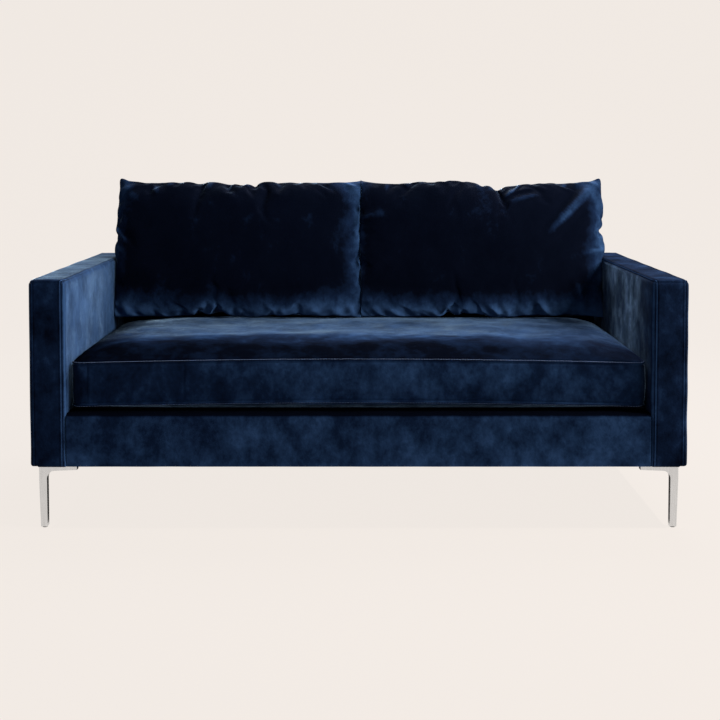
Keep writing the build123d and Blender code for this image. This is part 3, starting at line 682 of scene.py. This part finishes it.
# the panel's edge is turned under at the seam, which stands up as a narrow ridge
seam_gap = np.where(top | bottom, edge, np.minimum(w, 1 - w) * (upper_seam - lower_seam))
ridge = 0.0019 * pinch(seam_gap, 0.0016) - 0.0016 * pinch(seam_gap - 0.0048, 0.0018)
up = np.where(top, 1.0, np.where(bottom, -1.0, 0.0))
place[:, 2] += up * ridge * 0.7
place[:, :2] += side_out * ridge[:, None]
# the top is dented and brushed by use; the boxing ripples along its length
loose = 1 - np.exp(-edge / 0.05)
place[:, 2] += np.where(top, loose * (swells(place, 0.24, 0.0045, 51) + swells(place, 0.09, 0.0012, 52)), 0)
strip = np.where(top | bottom | np.isclose(y, seat_deep), 0, np.sin(math.pi * np.clip(w, 0, 1)))
ripple = swells(place * [1, 0.3, 0.2], 0.10, 0.0016, 53)
for seam, depth, width in ((strip_join, 0.0026, 0.0016), (strip_crease, 0.0014, 0.0030)):
    groove = depth * pinch(x - seam, width) - depth * 0.5 * pinch(x - seam - 0.006, 0.003)
    ripple -= np.where(front_face, groove, 0)
place[:, :2] += side_out * (strip * ripple)[:, None]
place[:, 2] = np.maximum(place[:, 2], low[2])
place[:, 1] = np.minimum(place[:, 1], seat_rear)
place[:, 0] = np.clip(place[:, 0], -high[0] - 0.0015, high[0] + 0.0015)
covered = ["seat_cushion_cover"]
seat = make_piece("seat_cushion_velvet", place, quads, velvet, "seat_cushion", covered)
# the pile of the top is stroked forwards over the front edge, and over the left end, by use; the top is
# painted paler towards the back, painted sheen, and darker towards the front edge and the left end, painted
# shade, and the boxing and underside are painted paler in the middle and towards the right and a little
# darker at the left end
forward = np.clip(1.3 - (y + seat_deep) / 0.19, 0, 1) * (1 - 0.6 * np.clip((x - 0.30) / 0.3, 0, 1))
leftward = np.clip(1.1 - (x + seat_half) / 0.14, 0, 1)
stroke = forward[:, None] * [0.0, -0.95, 0.0] + leftward[:, None] * [-0.3, -0.5, 0.0]
painted_side_sheen = 0.08 * np.exp(-((x / 0.4) ** 2)) + 0.05 * x
paler = np.where(top, 0.16 - 0.36 * np.maximum(forward, leftward), painted_side_sheen)
lay_pile(seat, np.where(top, 1, 0)[:, None] * stroke, paler)

rows = []
for level, face in ((upper_seam, top), (lower_seam, bottom)):
    ring = np.isclose(lattice[:, 2], level) & (edge < 1e-6)
    loop = place[ring]
    turn = np.arctan2(loop[:, 1] - seat_middle, loop[:, 0])
    loop = loop[np.argsort(turn)]
    loop = np.vstack([loop, loop[:1]])
    drawn = loop - [0, seat_middle, 0]
    drawn[:, :2] *= (1 - 0.0030 / np.linalg.norm(drawn[:, :2], axis=1))[:, None]
    sense = 1 if level == upper_seam else -1
    rows.append((drawn + [0, seat_middle, sense * 0.0014], np.array([0.0, 0.0, sense])))
points, quads = stitches(rows, 0.007, 0.0052, 0.0010)
make_piece("seat_cushion_topstitching", points, quads, thread, "seat_cushion")

layers = (("fibre", 0.009, fibre, "seat_fibre_wrap"), ("foam", 0.026, foam, "seat_foam_core"))
for layer, inset, material, node in layers:
    place, quads, *_ = seat_shape(inset, 0.02, 0.008)
    stuffing = make_piece(f"seat_cushion_{layer}", place, quads, material, "seat_cushion", [node])

# ---------------------------------------------------------------------------------------------------
# Zips. Nylon coil zips on navy tape, with plain zinc-alloy sliders, closed and turned to the back.


def zip_material():
    """Woven zip tape and its nylon coil, ribbed 1.5 mm apart along the zip."""
    material, tree, shader, place = new_material("Navy zip tape")
    ribs = add_node(tree, "ShaderNodeTexWave", {"Vector": place}, Scale=105.0)
    colour_steps(tree, ribs.outputs["Fac"], (0.3, "070d1b"), (0.7, "141d31"))
    set_up(shader, Roughness=0.8, Specular_IOR_Level=0.15)
    coil = add_node(tree, "ShaderNodeBump", {"Height": ribs.outputs["Fac"]}, Strength=0.6, Distance=0.0006)
    tree.links.new(coil.outputs[0], shader.inputs["Normal"])
    return material


def slider_material():
    """Die-cast zinc alloy in a gunmetal finish, with a soft cast texture."""
    material, tree, shader, place = new_material("Gunmetal zinc casting")
    cast = add_node(tree, "ShaderNodeTexNoise", {"Vector": place}, Scale=900.0, Detail=4.0)
    colour_steps(tree, cast.outputs["Fac"], (0.3, "3c3d42"), (0.7, "5a5b60"))
    set_up(shader, Metallic=1.0, Roughness=0.4)
    return material


give([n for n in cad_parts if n.endswith("_zip_chain")], zip_material())
give([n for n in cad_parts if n.endswith("_zip_slider")], slider_material())

# ---------------------------------------------------------------------------------------------------
# Back cushions. Two loose knife-edge cushions: two panels of velvet sewn face to face and stuffed with
# fibre, so that the seam gathers, the corners stand out as ears, and the faces crease.

cover_low, cover_high = np.array(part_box("right_back_cushion_cover"))
arm_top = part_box("right_arm_cover")[1][2]
pillow_wide = cover_high[0] - cover_low[0]
pillow_lean = math.radians(8.3)
pillow_tall = 0.414
pillow_thick = 0.150
pillow_shift = 0.005  # the two cushions meet this far to the right of the sofa's middle
pillow_up = np.array([0.0, math.sin(pillow_lean), math.cos(pillow_lean)])
pillow_front = np.array([0.0, -math.cos(pillow_lean), math.sin(pillow_lean)])
pillow_foot = (cover_low + cover_high) / 2 * [0, 1, 1] - pillow_tall / 2 * pillow_up


def stuffed(name, spare, seed):
    """Two flat panels, larger than the cushion by spare, sewn round the edge and blown up as cloth. They
    start as a lens whose thickness is (1 - u^4)(1 - v^4) to the power 0.5; the seam is gathered by 4 %."""
    wide, tall = pillow_wide / 2 + spare, pillow_tall / 2 + spare
    step = 0.0075
    points, quads = skin(
        np.linspace(-wide, wide, int(2 * wide / step)),
        np.linspace(-tall, tall, int(2 * tall / step)),
        np.array([-1.0, 1.0]),
    )
    u, v = points[:, 0] / wide, points[:, 1] / tall
    lens = np.sqrt(np.clip((1 - u**4) * (1 - v**4), 0, 1))
    points[:, 2] *= 0.0012 + 0.034 * lens
    points[:, 2] += swells(points, 0.12, 0.004, seed) * lens
    seam = (np.abs(u) > 1 - 1e-6) | (np.abs(v) > 1 - 1e-6)
    sack = new_object(name, points, quads)
    gathered = sack.vertex_groups.new(name="gathered")
    gathered.add(np.nonzero(seam)[0].tolist(), 1.0, "REPLACE")
    stuffing = sack.modifiers.new("stuffing", "CLOTH")
    cloth = stuffing.settings
    cloth.quality = 6
    cloth.mass = 0.25
    cloth.tension_stiffness = cloth.compression_stiffness = 25
    cloth.shear_stiffness = 8
    cloth.bending_stiffness = 1.2
    cloth.air_damping = 2.0
    cloth.use_pressure = True
    cloth.uniform_pressure_force = 8.0
    cloth.vertex_group_shrink = "gathered"
    cloth.shrink_min, cloth.shrink_max = 0.0, 0.04
    cloth.effector_weights.gravity = 0
    stuffing.collision_settings.use_collision = False
    last = 34
    stuffing.point_cache.frame_start, stuffing.point_cache.frame_end = 1, last
    scene = bpy.context.scene
    for number in range(1, last + 1):
        scene.frame_set(number)
    blown = sack.evaluated_get(bpy.context.evaluated_depsgraph_get()).to_mesh()
    shape = np.zeros(len(points) * 3)
    blown.vertices.foreach_get("co", shape)
    scene.frame_set(1)
    bpy.data.objects.remove(sack)
    return shape.reshape(-1, 3), quads, u, v


def straightened(at_seam, position, along_seam, extent, share):
    """Takes a share of the hourglass out of one direction: a smooth quartic is fitted to the seam on each
    side, and what lies between the two curves is stretched to the full extent."""
    fit = np.polynomial.Polynomial.fit
    curves = [fit(along_seam[side], position[side], 4)(along_seam) for side in at_seam]
    full = ((position - curves[0]) / (curves[1] - curves[0]) - 0.5) * extent
    return share * full + (1 - share) * position * extent / (position.max() - position.min())


def kept_above(values, limit, soft):
    """Values held above a limit with a smooth bend: limit + soft log(1 + exp((value - limit) / soft))."""
    return limit + np.logaddexp(0, (values - limit) / soft) * soft


def crease(u, v, start, end, width, height):
    """A fold along the segment from start to end, in panel coordinates: a bell curve across it, with a
    shallow trough on each side, that fades in and out along its length."""
    a, b = np.array(start), np.array(end)
    way = b - a
    t = ((u - a[0]) * way[0] + (v - a[1]) * way[1]) / (way @ way)
    gap = np.hypot(u - a[0] - np.clip(t, 0, 1) * way[0], (v - a[1] - np.clip(t, 0, 1) * way[1]) * 0.56)
    fade = np.clip(t * 3 + 0.25, 0, 1) * np.clip((1 - t) * 2.2 + 0.1, 0, 1)
    return height * fade * (pinch(gap, width) - 0.6 * pinch(gap - 2.2 * width, width))


def puckers(u, v, seed):
    """Short gathers round the seam: creases from seeded places on it, each running a few centimetres in."""
    rng = np.random.default_rng(seed)
    gathers = np.zeros(len(u))
    for _ in range(52):
        at, edge = rng.uniform(-0.95, 0.95), rng.integers(4)
        start = np.array(((-1, at), (1, at), (at, -1), (at, 1))[edge])
        inward = np.array(((1, 0), (-1, 0), (0, 1.8), (0, -1.8))[edge]) + rng.normal(0, 0.35, 2)
        end = start + rng.uniform(0.06, 0.20) * inward
        gathers += crease(u, v, start, end, rng.uniform(0.020, 0.032), rng.uniform(0.0020, 0.0050))
    return gathers


# the folds of each front panel: start, end, width and height, with u and v from -1 to 1
pillow_folds = {
    "left": (
        ((-0.99, 0.28), (-0.80, 0.02), 0.028, 0.0070),
        ((-0.96, 0.92), (-0.72, 0.55), 0.040, 0.0050),
        ((0.94, 0.62), (0.82, 0.05), 0.030, 0.0070),
        ((0.98, 0.10), (0.86, -0.45), 0.024, 0.0060),
        ((-0.20, -0.98), (-0.10, -0.45), 0.035, 0.0045),
        ((0.02, 0.99), (0.10, 0.78), 0.030, 0.0040),
    ),
    "right": (
        ((0.93, 0.93), (0.45, 0.12), 0.030, 0.0120),
        ((0.36, 0.95), (0.20, 0.62), 0.018, 0.0090),
        ((0.42, 0.70), (0.16, 0.55), 0.022, -0.0060),
        ((0.99, -0.02), (0.70, -0.10), 0.026, 0.0080),
        ((0.97, 0.45), (0.84, 0.10), 0.020, 0.0070),
        ((-0.99, 0.02), (-0.84, -0.08), 0.026, 0.0060),
        ((-0.99, -0.30), (-0.83, -0.38), 0.026, 0.0060),
        ((-0.99, -0.80), (-0.80, -0.64), 0.026, 0.0060),
        ((0.52, -0.95), (0.40, -0.55), 0.022, 0.0060),
        ((0.16, -0.96), (0.05, -0.60), 0.022, 0.0050),
        ((-0.30, -0.97), (-0.24, -0.62), 0.022, 0.0050),
        ((0.80, -0.85), (0.66, -0.40), 0.024, 0.0060),
    ),
}
for side, sign, spare, seed in (("left", -1, 0.026, 61), ("right", 1, 0.030, 67)):
    body = f"{side}_back_cushion"
    shape, quads, u, v = stuffed(f"{side}_sack", spare, seed)
    shape -= (shape.max(0) + shape.min(0)) / 2
    across = straightened((u < -1 + 1e-6, u > 1 - 1e-6), shape[:, 0], v, pillow_wide - 0.001, 0.93)
    upward = straightened((v < -1 + 1e-6, v > 1 - 1e-6), shape[:, 1], u, pillow_tall - 0.004, 0.86)
    facing = shape[:, 2] > 0
    # the seam lies forward of the middle, most of all at the foot
    forward = 0.030 - 0.018 * v
    deep = forward + (pillow_thick / 2 + 0.004 - forward) * shape[:, 2] / shape[:, 2].max()
    # the stuffing has settled: the cushion is fuller low down, it spreads over the arm, and its top sags
    deep += np.where(facing, 0.010 * (1 - u**4) * (1 - v**4) * (0.2 - v), 0)
    upper, lower = np.clip(v, 0, 1), np.clip(-v, 0, 1)
    spread = 0.010 * (1 - upper**2) if side == "left" else 0.012 - 0.004 * upper**2
    across += sign * np.where(sign * across > 0, spread, -0.019) * (2 * across / pillow_wide) ** 2
    sag = 0.0075 * pinch(u - 0.33, 0.34) if side == "right" else 0.004 * pinch(u + 0.36, 0.05)
    upward -= upper**3 * sag + 0.013 * lower**2
    # the outer top corner stands out as an ear
    ear = pinch(np.hypot((sign * u - 1) * 1.8, v - 1), 0.085)
    across += sign * 0.004 * ear
    upward += (0.012 if side == "right" else 0.008) * ear
    # the rear panel lies flat on the back, so that the zip does too
    flat = (1 - u**14) * (1 - v**14)
    ripple = swells(shape, 0.12, 0.0006, seed) * np.clip((v + 0.55) / 0.2, 0, 1)
    deep = np.where(facing, deep, (1 - flat) * deep + flat * (ripple - pillow_thick / 2 + 0.0003))
    folds = sum(crease(u, v, *fold) for fold in pillow_folds[side]) + puckers(u, v, seed)
    folds *= np.clip(np.minimum((1 - np.abs(u)) / 0.05, (1 - np.abs(v)) / 0.09), 0, 1)
    folds = np.where(facing, folds, 0)
    deep += folds
    fitted = np.column_stack([across, upward, deep])
    middle_x = sign * (cover_high[0] + cover_low[0]) / 2 + (pillow_shift if side == "left" else 0)
    pillows = []
    for inset in (0.0, 0.016):
        shrunk = fitted * (1 - 2.6 * inset / np.array([pillow_wide, pillow_tall, pillow_thick]))
        place = (
            pillow_foot
            + shrunk[:, :1] * [1, 0, 0]
            + (shrunk[:, 1:2] + pillow_tall / 2) * pillow_up
            + shrunk[:, 2:] * pillow_front
        )
        place[:, 0] += middle_x
        # it rests on the seat, and meets its neighbour and the arm; where the two cushions press
        # together, their sides share one wave, so that no light comes through between them
        floor = high[2] + 0.001 + inset
        place[:, 2] = kept_above(place[:, 2], floor, 0.003)
        meeting = pillow_shift + 0.0024 * np.sin(place[:, 1] * 2 * math.pi / 0.08)
        place[:, 0] = meeting + sign * kept_above(sign * (place[:, 0] - meeting), inset + 0.0007, 0.0003)
        above = np.clip((place[:, 2] - arm_top) / 0.02, 0, 1)
        limit = high[0] + 0.0015 - inset + 0.012 * above
        place[:, 0] = -sign * kept_above(-sign * place[:, 0], -limit, 0.002)
        pillows.append(place)
    pillow = make_piece(f"{side}_back_cushion_velvet", pillows[0], quads, velvet, body)
    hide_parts(f"{side}_back_cushion_cover")
    # the pile is stroked upwards along the foot, down the sides and along the folds, and lies flat in the
    # middle; the front panel is painted dark in the middle, painted shade, and paler where the pile is
    # stroked, painted sheen and painted highlights along the folds; the rear panel is painted a little
    # darker
    strips = (
        np.clip((u - 0.70) / 0.16, 0, 1) * (0.8 if side == "left" else 0.65),
        np.clip((-u - 0.78) / 0.14, 0, 1) * 0.6,
        np.clip(folds / 0.006, 0, 1) * 0.8,
        np.clip((-v - 0.45) / 0.35, 0, 1),
    )
    raised = np.where(facing, np.maximum.reduce(strips), 0)
    lay_pile(pillow, raised[:, None] * [0.0, 0.0, 0.8], np.where(facing, -0.30 + 0.56 * raised, -0.04))
    smoothing = pillow.modifiers.new("pile", "SUBSURF")
    smoothing.levels = smoothing.render_levels = 1
    filling = make_piece(f"{side}_back_cushion_fibre", pillows[1], quads, fibre, body)
    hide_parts(f"{side}_back_cushion_insert")
    matted = filling.modifiers.new("matted", "SMOOTH")
    matted.factor, matted.iterations = 0.5, 60

# ---------------------------------------------------------------------------------------------------
# Studio. A pale seamless floor and wall, a wide soft light high on the right, and a camera with a
# long lens that looks slightly down from chest height, 3.4 m from the sofa's middle.


def paper_material():
    """Matt seamless paper in a warm off-white."""
    material, tree, shader, place = new_material("Matt seamless paper")
    tooth = add_node(tree, "ShaderNodeTexNoise", {"Vector": place}, Scale=600.0, Detail=2.0)
    colour_steps(tree, tooth.outputs["Fac"], (0.3, "1f1d1c"), (0.7, "232120"))
    set_up(
        shader,
        Roughness=0.9,
        Specular_IOR_Level=0.0,
        Emission_Color=linear("f0e9e3"),
        Emission_Strength=0.985,
    )
    return material


sweep = np.linspace(0, math.pi / 2, 24)
floor_y = np.concatenate([[-7.0, 1.5], 2.5 + 1.5 * np.sin(sweep), [4.0]])
floor_z = np.concatenate([[0, 0], 1.5 - 1.5 * np.cos(sweep), [7.0]])
width = np.array([-8.0, 8.0])
n = len(floor_y)
points = np.stack([np.repeat(width, n), np.tile(floor_y, 2), np.tile(floor_z, 2)], 1)
strips = np.arange(n - 1)
quads = np.stack([strips, strips + n, strips + n + 1, strips + 1], 1)
new_object("studio_paper", points, quads, paper_material())

# painted shadow: a black sheet under the sofa, out of the camera's sight, stands in for the shade on the
# floor there and darkens the inner sides of the legs
corners = [(x, y, 0.0005) for x, y in ((-0.79, -0.41), (0.79, -0.41), (0.79, 0.42), (-0.79, 0.42))]
painted_shadow_material, _, shader, _ = new_material("Painted floor shadow")
set_up(shader, Base_Color=linear("0d0c0c"), Roughness=0.9)
painted_shadow_sheet = new_object("painted_floor_shadow", corners, [(0, 1, 2, 3)], painted_shadow_material)
painted_shadow_sheet.visible_camera = False

scene = bpy.context.scene
scene.view_settings.view_transform = "Standard"
world = bpy.data.worlds.new("studio air")
world.use_nodes = True
air = world.node_tree.nodes["Background"]
set_up(air, Color=linear("f0ece8"), Strength=0.20)
scene.world = world


def soft_light(name, place, aim, size, power, colour):
    """A square soft box at place, turned to aim."""
    light = bpy.data.lights.new(name, "AREA")
    light.shape, light.size, light.energy, light.color = "SQUARE", size, power, linear(colour)[:3]
    lamp = bpy.data.objects.new(name, light)
    lamp.location = place
    lamp.rotation_euler = (Vector(aim) - Vector(place)).to_track_quat("-Z", "Y").to_euler()
    scene.collection.objects.link(lamp)


soft_light("key", (3.2, -0.9, 2.6), (0, 0, 0.4), 1.6, 420, "fff6ea")
soft_light("top", (0.6, 1.8, 3.0), (0, 0, 0.4), 2.0, 230, "eef3ff")
soft_light("fill", (-2.8, -3.2, 1.8), (0, 0, 0.4), 2.0, 25, "eef2ff")

camera_pitch = 2.7  # degrees below level
camera = bpy.data.objects.new("camera", bpy.data.cameras.new("camera"))
camera.data.sensor_width, camera.data.lens = 36, 58.98
camera.data.shift_x, camera.data.shift_y = 0.0018, -0.2080
camera.location = (0, -3.399, 0.958)
camera.rotation_euler = (math.radians(90 - camera_pitch), 0, 0)
scene.collection.objects.link(camera)
scene.camera = camera
